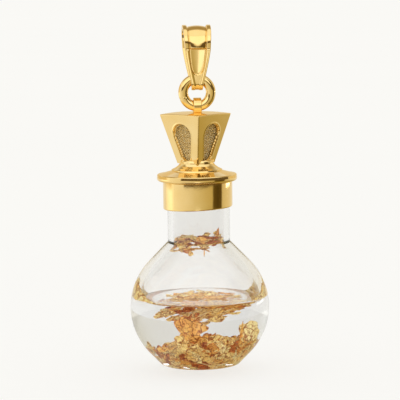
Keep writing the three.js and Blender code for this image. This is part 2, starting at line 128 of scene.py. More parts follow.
# Flask, liquid and leaf.
GLOBE_RADIUS = 7.34
GLOBE_WALL = 0.8
BELLY_RADIUS = 0.94 * GLOBE_RADIUS
BELLY_CENTRE = GLOBE_RADIUS - BELLY_RADIUS
FLANK_LEAN = math.radians(44)
BASE = flask_low.z
GLOBE_CENTRE = BASE + 0.837 * GLOBE_RADIUS
MOUTH = flask_high.z
NECK_OUTSIDE = 3.28
NECK_WALL = 0.6
NECK_LENGTH = 6.27
SHOULDER_FILLET = 0.08
CAVITY_FILLET = 0.4
BASE_ROUND = 0.7
FLOOR_ROUND = 1.1
FLOOR_THICKNESS = 0.8
CAVITY_FLOOR = BASE + FLOOR_THICKNESS
BORE = NECK_OUTSIDE - NECK_WALL
LIQUID_LEVEL = GLOBE_CENTRE + 1.06
MENISCUS_RISE = 0.03
MENISCUS_REACH = 0.25
GLASS_IOR = 1.46
NECK_FOOT = FLANGE_UNDER - NECK_LENGTH


def mesh_object(name, points, faces, materials, smooth=True):
    """An object from points in millimetres."""
    mesh = bpy.data.meshes.new(name)
    mesh.from_pydata([tuple(c * MM for c in p) for p in points], [], faces)
    mesh.validate()
    for material in materials:
        mesh.materials.append(material)
    if smooth:
        mesh.polygons.foreach_set("use_smooth", [True] * len(mesh.polygons))
    mesh.update()
    made = bpy.data.objects.new(name, mesh)
    bpy.context.scene.collection.objects.link(made)
    return made


def set_points(made, name, values):
    """A value for each point, which the materials read by its name."""
    made.data.attributes.new(name, "FLOAT", "POINT").data.foreach_set("value", values)


def skin_faces(rings, count, looped):
    """Quads between rings of equally many points, facing outwards when each ring runs anticlockwise
    about the way that the rings advance."""
    spans = rings if looped else rings - 1
    faces = []
    for i in range(spans):
        for j in range(count):
            k = (j + 1) % count
            n = (i + 1) % rings
            faces.append((i * count + j, i * count + k, n * count + k, n * count + j))
    return faces


def rounded(corners, steps=5):
    """A polyline from (x, y, radius) corners, with each corner turned by an arc of its radius."""
    line = []
    for i, (x, y, radius) in enumerate(corners):
        here = Vector((x, y))
        if radius == 0 or i in (0, len(corners) - 1):
            line.append((x, y))
            continue
        before = (Vector(corners[i - 1][:2]) - here).normalized()
        after = (Vector(corners[i + 1][:2]) - here).normalized()
        half = before.angle(after) / 2
        reach = radius / math.tan(half)
        centre = here + (before + after).normalized() * (radius / math.sin(half))
        start, end = here + before * reach - centre, here + after * reach - centre
        turn = start.angle_signed(end)
        for k in range(steps + 1):
            angle = -turn * k / steps
            c, s = math.cos(angle), math.sin(angle)
            line.append((centre.x + start.x * c - start.y * s, centre.y + start.x * s + start.y * c))
    return line


def arc(cx, cy, radius, start, end, steps):
    """Points on an arc, with angles in degrees."""
    angles = np.radians(np.linspace(start, end, steps + 1))
    return [(cx + radius * math.cos(a), cy + radius * math.sin(a)) for a in angles]


def lathe(name, profile, materials, sides=160, closed=False, axis="Z"):
    """A solid of revolution from (radius, height) points, listed upwards on the outside."""
    points, faces, rows = [], [], []
    for radius, height in profile:
        if radius < 1e-6:
            rows.append([len(points)] * sides)
            points.append((0, 0, height))
        else:
            rows.append(range(len(points), len(points) + sides))
            for j in range(sides):
                a = 2 * math.pi * j / sides
                points.append((radius * math.cos(a), radius * math.sin(a), height))
    pairs = list(zip(rows, rows[1:]))
    if closed:
        pairs.append((rows[-1], rows[0]))
    for low, high in pairs:
        for j in range(sides):
            k = (j + 1) % sides
            quad = (low[j], low[k], high[k], high[j])
            faces.append(tuple(dict.fromkeys(quad)))
    if axis == "X":
        points = [(z, x, y) for x, y, z in points]
    return mesh_object(name, points, faces, materials)


def material(name):
    """A new node material and its Principled shader."""
    made = bpy.data.materials.new(name)
    made.use_nodes = True
    return made, made.node_tree.nodes["Principled BSDF"]


def set_inputs(node, values):
    for name, value in values.items():
        node.inputs[name].default_value = value


def feed(tree, socket, value):
    """Gives an input a value: a socket to link, a colour or a number."""
    if isinstance(value, bpy.types.NodeSocket):
        tree.links.new(value, socket)
    else:
        socket.default_value = (*value, 1.0) if isinstance(value, tuple) else value


def noise_node(made, scale, detail=4.0, roughness=0.5, distortion=0.0):
    """Noise in object space, with its scale in waves per millimetre."""
    nodes, links = made.node_tree.nodes, made.node_tree.links
    place = nodes.new("ShaderNodeTexCoord")
    texture = nodes.new("ShaderNodeTexNoise")
    set_inputs(texture, {"Scale": scale / MM, "Detail": detail})
    set_inputs(texture, {"Roughness": roughness, "Distortion": distortion})
    links.new(place.outputs["Object"], texture.inputs["Vector"])
    return texture.outputs["Fac"]


def ramp_node(made, source, stops):
    """A source's value turned into a colour. stops are (position, colour)."""
    nodes, links = made.node_tree.nodes, made.node_tree.links
    ramp = nodes.new("ShaderNodeValToRGB")
    elements = ramp.color_ramp.elements
    while len(elements) < len(stops):
        elements.new(0.5)
    for element, (position, colour) in zip(elements, stops):
        element.position = position
        element.color = (*colour, 1.0)
    links.new(source, ramp.inputs["Fac"])
    return ramp.outputs["Color"]


def mix_colour(tree, share, first, second, blend="MIX"):
    """A mix of two colours, which are sockets or plain ones, as the share is."""
    mix = tree.nodes.new("ShaderNodeMix")
    mix.data_type = "RGBA"
    mix.blend_type = blend
    for index, value in ((0, share), (6, first), (7, second)):
        feed(tree, mix.inputs[index], value)
    return mix.outputs[2]


def mix_value(tree, share, first, second):
    mix = tree.nodes.new("ShaderNodeMix")
    mix.data_type = "FLOAT"
    for index, value in ((0, share), (2, first), (3, second)):
        feed(tree, mix.inputs[index], value)
    return mix.outputs[0]


def math_node(tree, operation, first, second):
    node = tree.nodes.new("ShaderNodeMath")
    node.operation = operation
    feed(tree, node.inputs[0], first)
    feed(tree, node.inputs[1], second)
    return node.outputs["Value"]


def grey_ramp(made, source, low, high):
    return ramp_node(made, source, [(0.3, (low,) * 3), (0.7, (high,) * 3)])


def bump_node(made, source, distance_mm, strength=1.0, before=None):
    nodes, links = made.node_tree.nodes, made.node_tree.links
    bump = nodes.new("ShaderNodeBump")
    set_inputs(bump, {"Distance": distance_mm * MM, "Strength": strength})
    links.new(source, bump.inputs["Height"])
    if before:
        links.new(before, bump.inputs["Normal"])
    return bump.outputs["Normal"]


GOLD_PALE = (0.96, 0.72, 0.33)
GOLD_DEEP = (0.93, 0.66, 0.26)
GOLD_GRAINED = (0.93, 0.80, 0.52)
GOLD_ROUGHNESS = 0.07
GRAINED_ROUGHNESS = 0.16
GOLD_WAVE = 0.012


def gold_material(name, grain=False):
    """Polished yellow gold: a slight waviness, fine scratches and patches of duller polish. With grain,
    the surface is granular wherever the mesh's grain attribute says so."""
    made, shader = material(name)
    tree = made.node_tree
    shader.inputs["Metallic"].default_value = 1.0
    tone = noise_node(made, 0.35, 3.0)
    colour = ramp_node(made, tone, [(0.35, GOLD_PALE), (0.65, GOLD_DEEP)])
    polish = noise_node(made, 1.7, 6.0, 0.65)
    rough = grey_ramp(made, polish, GOLD_ROUGHNESS * 0.7, GOLD_ROUGHNESS * 1.6)
    waves = noise_node(made, 0.5, 2.0)
    bump = bump_node(made, waves, GOLD_WAVE)
    scratches = noise_node(made, 3.0, 2.0, 0.7, 3.0)
    bump = bump_node(made, scratches, 0.0015, 0.5, before=bump)
    if grain:
        where = tree.nodes.new("ShaderNodeAttribute")
        where.attribute_name = "grain"
        grained = where.outputs["Fac"]
        colour = mix_colour(tree, grained, colour, GOLD_GRAINED)
        rough = mix_value(tree, grained, rough, GRAINED_ROUGHNESS)
        grains = noise_node(made, 5.0, 3.0, 0.75)
        depth = math_node(tree, "MULTIPLY", grains, grained)
        bump = bump_node(made, depth, 0.7, 1.0, before=bump)
    tree.links.new(colour, shader.inputs["Base Color"])
    tree.links.new(rough, shader.inputs["Roughness"])
    tree.links.new(bump, shader.inputs["Normal"])
    return made


def glass_material(name, ior=GLASS_IOR, clear=0.98, grey=None):
    """Clear blown glass or liquid, with the faintest unevenness. grey is its shade in the neck, where
    it is greyest."""
    made, shader = material(name)
    nodes, links = made.node_tree.nodes, made.node_tree.links
    pale = (clear, clear, clear * 0.996)
    set_inputs(shader, {"Base Color": (*pale, 1.0), "Transmission Weight": 1.0})
    set_inputs(shader, {"Roughness": 0.0, "IOR": ior})
    unevenness = noise_node(made, 0.12, 1.0)
    bump = bump_node(made, unevenness, 0.02, 0.6)
    links.new(bump, shader.inputs["Normal"])
    if grey is None:
        return made
    place = nodes.new("ShaderNodeTexCoord")
    split = nodes.new("ShaderNodeSeparateXYZ")
    links.new(place.outputs["Object"], split.inputs["Vector"])
    up = nodes.new("ShaderNodeMapRange")
    set_inputs(up, {"From Min": (NECK_FOOT - 1.5) * MM, "From Max": (NECK_FOOT + 0.5) * MM})
    links.new(split.outputs["Z"], up.inputs["Value"])
    greyed = (grey, grey * 0.995, grey * 0.985)
    tint = ramp_node(made, up.outputs["Result"], [(0.0, pale), (1.0, greyed)])
    links.new(tint, shader.inputs["Base Color"])
    return made


def wetted_material(name, dim):
    """Glass wetted by liquid of the same index: its surface can't be seen, and takes a little light."""
    made, shader = material(name)
    set_inputs(shader, {"Alpha": dim, "Base Color": (0.0, 0.0, 0.0, 1.0)})
    set_inputs(shader, {"Specular IOR Level": 0.0, "Roughness": 1.0})
    return made


# The strength of the leaf's painted glow: the leaf is no lamp.
LEAF_PAINTED_GLOW = 0.24
LEAF_SHADES = [
    (0.14, (0.24, 0.05, 0.012)),
    (0.3, (0.66, 0.20, 0.045)),
    (0.43, (0.88, 0.47, 0.11)),
    (0.54, (0.96, 0.68, 0.21)),
    (0.72, (0.98, 0.85, 0.43)),
]


def crease_node(made, cells):
    """A warped cell pattern, whose distance output is 0 along the folds between its cells. cells are to a
    millimetre.
    """
    nodes, links = made.node_tree.nodes, made.node_tree.links
    place = nodes.new("ShaderNodeTexCoord")
    facets = nodes.new("ShaderNodeTexVoronoi")
    facets.feature = "DISTANCE_TO_EDGE"
    facets.inputs["Scale"].default_value = cells / MM
    warp = noise_node(made, 1.8, 2.0)
    bent = nodes.new("ShaderNodeVectorMath")
    bent.operation = "MULTIPLY_ADD"
    bent.inputs[1].default_value = (1.1 * MM,) * 3
    links.new(warp.node.outputs["Color"], bent.inputs[0])
    links.new(place.outputs["Object"], bent.inputs[2])
    links.new(bent.outputs["Vector"], facets.inputs["Vector"])
    return facets


def leaf_material(name):
    """Crumpled metal leaf, from bright gold through orange to red-brown, with painted shade along its
    folds. The mesh's tone attribute sets each scrap's own tone, with painted shade at a loose scrap's
    rim. A slight painted glow stands in for the light that the leaf passes on to its neighbours."""
    made, shader = material(name)
    nodes, links = made.node_tree.nodes, made.node_tree.links
    shader.inputs["Metallic"].default_value = 0.3
    where = nodes.new("ShaderNodeAttribute")
    where.attribute_name = "tone"
    patches = noise_node(made, 1.3, 4.0, 0.7)
    mixed = mix_value(made.node_tree, 0.35, where.outputs["Fac"], patches)
    colour = ramp_node(made, mixed, LEAF_SHADES)
    # Painted shade: each pass darkens the colour to red-brown along the folds of a cell pattern.
    for cells, width, tint in ((0.85, 0.06, (0.34, 0.08, 0.02)), (2.0, 0.07, (0.38, 0.12, 0.03))):
        facets = crease_node(made, cells)
        crease_shade = ramp_node(made, facets.outputs["Distance"], [(0.0, tint), (width, (1.0, 1.0, 1.0))])
        colour = mix_colour(made.node_tree, 1.0, colour, crease_shade, "MULTIPLY")
    links.new(colour, shader.inputs["Base Color"])
    # Painted light: the leaf glows with its own colour, though it is no lamp.
    links.new(colour, shader.inputs["Emission Color"])
    shader.inputs["Emission Strength"].default_value = LEAF_PAINTED_GLOW
    crinkle = noise_node(made, 3.4, 5.0, 0.75)
    bump = bump_node(made, crinkle, 0.18, 1.0)
    bump = bump_node(made, facets.outputs["Distance"], 0.1, 0.7, before=bump)
    links.new(bump, shader.inputs["Normal"])
    rough = grey_ramp(made, crinkle, 0.2, 0.45)
    links.new(rough, shader.inputs["Roughness"])
    return made


def bail_line(spacing=0.05):
    """The bail's outer line in its side view from the crest down the front to the foot, as points
    (y, z) with their outward directions. It is the hull of three arcs, as in the frame."""
    top = Vector((0, bail_high.z - BAIL_TOP_RADIUS))
    shoulder = Vector((BAIL_SHOULDER_RADIUS - BAIL_TOP_RADIUS, top.y - BAIL_SHOULDER_DROP))
    foot = Vector((0, bail_low.z + BAIL_FOOT_RADIUS))
    between = shoulder - foot
    lean = math.atan2(between.y, between.x)
    lean += math.acos((BAIL_FOOT_RADIUS - BAIL_SHOULDER_RADIUS) / between.length)
    arcs = [
        (top, BAIL_TOP_RADIUS, math.pi / 2, math.pi),
        (shoulder, BAIL_SHOULDER_RADIUS, math.pi, lean),
        (foot, BAIL_FOOT_RADIUS, lean, 3 * math.pi / 2),
    ]
    line = []
    for centre, radius, start, end in arcs:
        steps = max(3, math.ceil(radius * abs(end - start) / spacing))
        for a in np.linspace(start, end, steps + 1):
            out = Vector((math.cos(a), math.sin(a)))
            at = centre + out * radius
            if line and (at - line[-1][0]).length > 2 * spacing:
                last, last_out = line[-1]
                gaps = math.ceil((at - last).length / spacing)
                line += [(last.lerp(at, k / gaps), last_out) for k in range(1, gaps)]
            if not line or (at - line[-1][0]).length > spacing / 10:
                line.append((at, out))
    return line, shoulder.y


def clipped(x):
    return min(1.0, max(0.0, x))


def smooth_step(x, start, end):
    t = clipped((x - start) / (end - start))
    return t * t * (3 - 2 * t)


def bail_section(at, out, side, shoulder):
    """The strap's section at one station, anticlockwise about the way down the front."""
    taper = clipped((shoulder - at.y) / (shoulder - bail_low.z - BAIL_THICKNESS))
    top = clipped((bail_high.z - at.y) / (bail_high.z - shoulder))
    wide = BAIL_HALF_WIDTH + (BAIL_SHOULDER_HALF - BAIL_HALF_WIDTH) * top
    half = wide + (BAIL_FOOT_HALF - wide) * taper**BAIL_TAPER_BOW
    tongue = clipped((shoulder - at.y) / BAIL_TONGUE_LENGTH)
    panel = (half - BAIL_RIM_WIDTH + 0.15 * tongue) * math.sqrt(max(0.0, 1 - tongue**10))
    dome = BAIL_PANEL_DOME * smooth_step(at.y, shoulder - 0.02, shoulder + 0.08)
    dome *= 1 + BAIL_PANEL_SWELL * smooth_step(at.y, shoulder + 1.1, shoulder)
    # The sunk tongue is hollowed along its middle, deepest at its round end.
    below = 1 - smooth_step(at.y, shoulder - 0.1, shoulder + 0.02)
    hollow = BAIL_HOLLOW * below * min(1, panel / 0.4)
    crease = BAIL_CREASE * math.exp(-(((at.y - shoulder + 0.02) / 0.07) ** 2))
    e = BAIL_EDGE_ROUND
    across = [(half - e + e * math.cos(a), e - e * math.sin(a)) for a in np.linspace(0, math.pi / 2, 5)]
    for x in np.linspace(half - e, -half + e, 64)[1:-1]:
        inside = smooth_step(panel - abs(x), -0.02, 0.06) if panel > 0.02 else 0.0
        bow = 1 - min(1.0, abs(x) / max(panel, 0.05)) ** 2
        rim_crown = -0.05 * max(0.0, 1 - ((abs(x) - half + 0.23) / 0.23) ** 2) * (1 - inside)
        groove = BAIL_GROOVE * math.exp(-(((abs(x) - panel + 0.03) / 0.05) ** 2)) if panel > 0.1 else 0.0
        sunk = inside * (BAIL_PANEL_DEPTH + (hollow - dome) * bow) + groove
        across.append((x, sunk + rim_crown + 0.05 + crease * (0.6 + 0.4 * inside)))
    across += [(-x, depth) for x, depth in reversed(across[:5])]
    t = BAIL_THICKNESS
    i = e * 0.7
    across += [(-half, t - i), (-half + i * 0.3, t - i * 0.3), (-half + i, t)]
    across += [(x, t) for x in np.linspace(-half + i, half - i, 12)[1:-1]]
    across += [(half - i, t), (half - i * 0.3, t - i * 0.3), (half, t - i)]
    return [(x, side * (at.x - out.x * d), at.y - out.y * d) for x, d in across]


def build_bail(gold):
    line, shoulder = bail_line()
    front = [bail_section(at, out, 1, shoulder) for at, out in line]
    back = [bail_section(at, out, -1, shoulder) for at, out in line[1:-1]][::-1]
    rings = front + back
    count = len(rings[0])
    points = [p for ring in rings for p in ring]
    made = mesh_object("bail_strap", points, skin_faces(len(rings), count, True), [gold])
    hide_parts("bail")
    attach(made, "bail")


def build_ring(gold):
    """The ring, with the faint waist that soldering left where its ends meet."""
    around, section = 192, 48
    seam = math.radians(200)
    points = []
    for i in range(around):
        a = 2 * math.pi * i / around
        off = (a - seam + math.pi) % (2 * math.pi) - math.pi
        wire = RING_WIRE_RADIUS * (1 - 0.035 * math.exp(-((off / 0.05) ** 2)))
        for j in range(section):
            b = 2 * math.pi * j / section
            r = RING_RADIUS + wire * math.cos(b)
            points.append((r * math.cos(a), wire * math.sin(b), RING_CENTRE + r * math.sin(a)))
    made = mesh_object("ring_wire", points, skin_faces(around, section, True), [gold])
    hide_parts("jump_ring")
    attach(made, "ring")


def band_section(inner, outer, low, high, rounds):
    """A band's section with its corners rounded, from the middle of its inner side down and round."""
    middle = (inner, (low + high) / 2, 0)
    corners = zip((inner, outer, outer, inner), (low, low, high, high), rounds)
    return rounded([middle, *corners, middle])[:-1]


def build_eye(gold):
    inner, h, r = EYE_OUTSIDE - EYE_THICKNESS, EYE_HALF_WIDTH, 0.08
    section = band_section(inner, EYE_OUTSIDE, -h, h, (0.04, r, r, 0.04))
    made = lathe("stopper_eye", section, [gold], sides=96, closed=True, axis="X")
    made.location.z = RING_BOTTOM * MM
    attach(made, "drop")
    # The solder that joins the eye to the head.
    low = HEAD_APEX - 0.12
    fillet = [(0, 0), (0.62, 0), (0.52, 0.12), (0.44, 0.2), (0.36, 0.32), (0, 0.34)]
    solder = lathe("eye_solder", rounded([(r, low + z, 0.05) for r, z in fillet], 4), [gold], sides=64)
    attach(solder, "drop")


def head_half(z):
    """Half the head's width at a height."""
    return HEAD_FOOT_HALF + (HEAD_TOP_HALF - HEAD_FOOT_HALF) * (z - HEAD_FOOT) / HEAD_HEIGHT


HEAD_CORNER = HEAD_TOP_HALF * math.sqrt(2)
DOME_RADIUS = (HEAD_CORNER**2 + HEAD_CROWN**2) / (2 * HEAD_CROWN)


def dome_height(x, y):
    return HEAD_APEX - DOME_RADIUS + math.sqrt(DOME_RADIUS**2 - x * x - y * y)


def egg_distance(s, v):
    """How far a point lies outside a pocket's outline. s runs across the face from its middle and v
    down it from its top edge."""
    y1 = POCKET_TOP_MARGIN + POCKET_HALF
    y2 = POCKET_TOP_MARGIN + POCKET_LENGTH - POCKET_FOOT_HALF
    span = y2 - y1
    sine = (POCKET_HALF - POCKET_FOOT_HALF) / span
    cosine = math.sqrt(1 - sine * sine)
    x, y = abs(s), v - y1
    # Along and off the straight side that is tangent to both discs.
    along = y * cosine + x * -sine
    if y * cosine - x * sine < 0 and y < x * sine / cosine:
        return math.hypot(x, y) - POCKET_HALF
    if along > span * cosine:
        return math.hypot(x, y - span) - POCKET_FOOT_HALF
    return x * cosine + y * sine - POCKET_HALF


def head_point(half, j, across, corner_steps):
    """One point of a rounded square about the axis with its corners towards X and Y: the point, its
    outward direction, and its place across a face, or None at a corner."""
    r = HEAD_CORNER_ROUND
    face, k = divmod(j, across + corner_steps - 1)
    turn = math.radians(-45 + 90 * face)
    n = Vector((math.cos(turn), math.sin(turn)))
    t = Vector((-n.y, n.x))
    if k < across:
        s = -(half - r) + 2 * (half - r) * k / (across - 1)
        return n * half + t * s, n, s
    a = math.radians(90 * (k - across + 1) / corner_steps)
    out = n * math.cos(a) + t * math.sin(a)
    return n * (half - r) + t * (half - r) + out * r, out, None


def build_head(gold):
    across, corner_steps, rows, crown_rows, rim_steps = 96, 6, 150, 22, 4
    slant = math.atan2(HEAD_TOP_HALF - HEAD_FOOT_HALF, HEAD_HEIGHT)
    points, grain = [], []
    count = 4 * (across + corner_steps - 1)
    low = HEAD_FOOT - 0.12
    tops = []
    for j in range(count):
        p, _, _ = head_point(HEAD_TOP_HALF, j, across, corner_steps)
        z = dome_height(p.x, p.y)
        share = head_half(z) / HEAD_TOP_HALF
        tops.append(dome_height(p.x * share, p.y * share) - HEAD_EDGE_ROUND)
    for row in range(rows + 1):
        f = row / rows
        for j in range(count):
            z = low + (tops[j] - low) * f
            half = head_half(z)
            p, n, s = head_point(half, j, across, corner_steps)
            sunk, mask = HEAD_INSET, 0.0
            if s is not None:
                v = (HEAD_TOP - z) / math.cos(slant)
                d = egg_distance(s, v)
                inside = smooth_step(-d, 0.0, POCKET_WALL)
                mask = smooth_step(-d, POCKET_WALL * 0.6, POCKET_WALL * 1.3)
                lip = POCKET_LIP * math.exp(-(((d - 0.06) / 0.07) ** 2))
                pillow = 0.05 * (1 - (s / half) ** 2)
                rough = 0.05 * noise.noise(Vector((p.x, p.y, z)) * 4.5) * mask
                sunk += inside * POCKET_DEPTH + rough - lip - pillow * (1 - inside)
            points.append((p.x - n.x * sunk, p.y - n.y * sunk, z))
            grain.append(mask)
    # The rounded edge between the faces and the crown.
    edge = points[-count:]
    for k in range(1, rim_steps + 1):
        a = math.radians(90 * k / rim_steps)
        for j in range(count):
            x, y, z = edge[j]
            r = math.hypot(x, y)
            inset = HEAD_EDGE_ROUND * (1 - math.cos(a))
            points.append((x * (r - inset) / r, y * (r - inset) / r, z + HEAD_EDGE_ROUND * math.sin(a)))
            grain.append(0.0)
    rim = points[-count:]
    for k in range(1, crown_rows):
        f = 1 - k / crown_rows
        for x, y, z in rim:
            drop = dome_height(x, y) - z
            points.append((x * f, y * f, dome_height(x * f, y * f) - drop * f))
            grain.append(0.0)
    rings = rows + 1 + rim_steps + crown_rows - 1
    faces = skin_faces(rings, count, False)
    hub_top, hub_low = len(points), len(points) + 1
    points += [(0, 0, HEAD_APEX), (0, 0, low)]
    grain += [0.0, 0.0]
    last = (rings - 1) * count
    for j in range(count):
        k = (j + 1) % count
        faces.append((last + j, last + k, hub_top))
        faces.append((k, j, hub_low))
    made = mesh_object("stopper_head", points, faces, [gold])
    set_points(made, "grain", grain)
    made.location.x = HEAD_SHIFT * MM
    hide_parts("stopper")
    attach(made, "drop")


# The foot's two tiers from the flange up: reach and drop as shares of the whole, and rounding.
FOOT_TIERS = [
    (0.9, 1.0, 0.1), (0.66, 0.87, 0.6), (0.45, 0.76, 0.3), (0.37, 0.72, 0.04),
    (0.36, 0.62, 0.05), (0.2, 0.48, 0.5), (0.07, 0.3, 0.3), (0.0, 0.12, 0.1),
]


def build_foot(gold):
    reach = FLANGE_RADIUS - NECK_RADIUS
    flare = [(NECK_RADIUS + reach * out, HEAD_FOOT - FLARE_HEIGHT * down, r) for out, down, r in FOOT_TIERS]
    plug_end = stopper_low.z
    corners = [
        (0, plug_end + CORE_DEPTH, 0),
        (PLUG_RADIUS - PLUG_WALL, plug_end + CORE_DEPTH, 0.2),
        (PLUG_RADIUS - PLUG_WALL, plug_end, 0.1),
        (PLUG_RADIUS, plug_end, 0.15),
        (PLUG_RADIUS, FLANGE_UNDER, 0.05),
        (FLANGE_RADIUS, FLANGE_UNDER, FLANGE_ROUND),
        # The rim draws in towards its top.
        (FLANGE_RADIUS, FLANGE_TOP - 0.33, 0.03),
        (FLANGE_RADIUS - 0.035, FLANGE_TOP - 0.07, 0.03),
        (FLANGE_RADIUS - 0.11, FLANGE_TOP + 0.01, 0.05),
        *flare,
        (NECK_RADIUS, HEAD_FOOT + 0.2, 0),
        (0, HEAD_FOOT + 0.2, 0),
    ]
    made = lathe("stopper_foot", rounded(corners, 6), [gold], sides=192)
    made.location.x = FOOT_SHIFT * MM
    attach(made, "drop")


def build_collar(gold):
    inside, outside = NECK_OUTSIDE + CEMENT_GAP, collar_high.x
    low, high = collar_low.z, collar_high.z
    section = band_section(inside, outside, low, high, (0.05, 0.14, 0.05, 0.03))
    made = lathe("collar_band", section, [gold], sides=192, closed=True)
    # The band's lower edge isn't quite square to its axis.
    for vertex in made.data.vertices:
        if vertex.co.z < (low + high) / 2 * MM - MM / 2:
            vertex.co.z += vertex.co.x * COLLAR_LEAN
    made.location.x = FOOT_SHIFT / 2 * MM
    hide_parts("collar")
    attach(made, "drop")


def globe_line(inset, foot, foot_round, neck, fillet):
    """The globe's profile, inset from the outside, from the middle of its foot to the end of its
    fillet into the neck."""
    sine, cosine = math.sin(FLANK_LEAN), math.cos(FLANK_LEAN)
    belly = BELLY_RADIUS - inset
    flank = BELLY_CENTRE * cosine + belly
    foot_centre = (flank - foot_round - (foot - foot_round) * sine) / cosine
    rise = (flank + fillet - (neck + fillet) * cosine) / sine
    lean = math.degrees(FLANK_LEAN)
    c = GLOBE_CENTRE
    line = [(0, c - foot), (foot_centre * 0.5, c - foot)]
    line += arc(foot_centre, c - foot + foot_round, foot_round, -90, -lean, 14)
    low = line[-1]
    belly_arc = arc(BELLY_CENTRE, c, belly, -lean, lean, 80)
    shoulder = arc(neck + fillet, c + rise, fillet, 180 + lean, 180, 12)
    line += between(low, belly_arc[0], 12) + belly_arc + between(belly_arc[-1], shoulder[0], 12) + shoulder
    return line


def between(start, end, steps):
    """The points strictly between two points of a profile."""
    return [
        (start[0] + (end[0] - start[0]) * k / steps, start[1] + (end[1] - start[1]) * k / steps)
        for k in range(1, steps)
    ]


def wall_at(z, inset=0.0):
    """The radius of the flask's hollow at a height, less an inset."""
    sine, cosine = math.sin(FLANK_LEAN), math.cos(FLANK_LEAN)
    belly = BELLY_RADIUS - GLOBE_WALL - inset
    rise = abs(z - GLOBE_CENTRE)
    if rise < belly * sine:
        globe = BELLY_CENTRE + math.sqrt(belly**2 - rise**2)
    else:
        globe = (BELLY_CENTRE * cosine + belly - rise * sine) / cosine
    return max(globe, BORE - inset) if z > GLOBE_CENTRE else globe


def meniscus(r):
    """The height of the liquid's surface at a radius."""
    wall = wall_at(LIQUID_LEVEL + MENISCUS_RISE)
    return LIQUID_LEVEL + MENISCUS_RISE * math.exp(-max(0.0, wall - r) / MENISCUS_REACH)


def cavity_line(gap=0.0):
    foot = GLOBE_CENTRE - CAVITY_FLOOR - gap
    return globe_line(GLOBE_WALL + gap, foot, FLOOR_ROUND, BORE - gap, CAVITY_FILLET + gap)


def build_flask(glass, wetted):
    sides = 200
    outside = globe_line(0, GLOBE_CENTRE - BASE, BASE_ROUND, NECK_OUTSIDE, SHOULDER_FILLET)
    out, under = NECK_OUTSIDE, MOUTH - 1
    lip = rounded([(out, under, 0), (out, MOUTH, 0.15), (BORE, MOUTH, 0.15), (BORE, under, 0)])
    profile = outside + lip + cavity_line()[::-1]
    made = lathe("flask_glass", profile, [glass, wetted], sides=sides)
    first_inside = len(outside) + len(lip)
    wet_line = LIQUID_LEVEL + MENISCUS_RISE
    for index, face in enumerate(made.data.polygons):
        row = index // sides
        if row >= first_inside and profile[row][1] <= wet_line:
            face.material_index = 1
    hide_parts("flask")
    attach(made, "drop")


def build_liquid(surface, wetted):
    """The liquid's free surface is seen; its sides and foot lie on the glass, of the same index."""
    gap = 0.02
    edge = LIQUID_LEVEL + MENISCUS_RISE
    sides = [p for p in cavity_line(gap) if p[1] < edge - 0.05]
    wall = wall_at(edge, gap)
    shares = 1 - np.linspace(0, 1, 60) ** 2
    top = [(wall * s, meniscus(wall * s)) for s in shares[:-1]] + [(0, LIQUID_LEVEL)]
    made = lathe("liquid_body", sides + top, [surface, wetted], sides=160)
    for face in made.data.polygons:
        face.material_index = 0 if face.normal.z > 0.05 and face.center.z / MM > LIQUID_LEVEL - 0.1 else 1
    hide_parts("liquid")
    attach(made, "drop")


def scrap(rng, length, width, crumple, point=0.0, rings=6, around=20):
    """One scrap of crumpled leaf about the origin, as points and faces: a ragged sheet, thin but
    closed, with folds at two scales. point narrows it towards +Y."""
    thickness = 0.03
    seed = Vector((rng.uniform(0, 90), rng.uniform(0, 90), rng.uniform(0, 90)))
    turn = 2 * math.pi
    lobes = [(k, rng.uniform(0, turn), rng.uniform(0.04, 0.2) / math.sqrt(k)) for k in (1, 2, 3, 5, 8)]
    sheets = []
    for side in (-1, 1):
        sheet = []
        for i in range(rings + 1):
            share = i / rings
            for j in range(around if i else 1):
                a = turn * j / around
                edge = 1 + sum(size * math.sin(k * a + phase) for k, phase, size in lobes)
                x = share * edge * math.cos(a) * length / 2
                y = share * edge * math.sin(a) * width / 2
                x *= 1 - point * (0.5 + y / width)
                fold = noise.noise(Vector((x, y, 0)) * 1.1 + seed)
                crease = abs(noise.noise(Vector((x, y, 3)) * 2.6 + seed))
                z = crumple * (fold + 0.55 * crease)
                sheet.append((x, y, z + side * thickness / 2 * (1 if i < rings else 0.3)))
        sheets.append(sheet)
    points = sheets[0] + sheets[1]
    faces = []
    base = len(sheets[0])
    for side in (0, 1):
        start = side * base
        for j in range(around):
            k = (j + 1) % around
            tri = (start, start + 1 + j, start + 1 + k)
            faces.append(tri if side else tri[::-1])
            for i in range(rings - 1):
                a, b = start + 1 + i * around, start + 1 + (i + 1) * around
                quad = (a + j, b + j, b + k, a + k)
                faces.append(quad if side else quad[::-1])
    rim = 1 + (rings - 1) * around
    for j in range(around):
        k = (j + 1) % around
        faces.append((rim + j, rim + k, base + rim + k, base + rim + j))
    # Painted shade: the points of the rim are marked, to take a darker tone.
    rim_shade = [0.0] * rim + [1.0] * around
    return points, faces, rim_shade * 2


def pick_tone(rng, bright, middle, dark, bright_over, middle_over):
    """One of three tones, by how high a draw falls."""
    draw = rng.random()
    return bright if draw > bright_over else middle if draw > middle_over else dark


GOLDEN_ANGLE = math.pi * (3 - math.sqrt(5))
LEAF_CEILING = 2.4  # under the flange
LEAF_FOLD = math.radians(40)
HEAP_RADIUS = 5.6


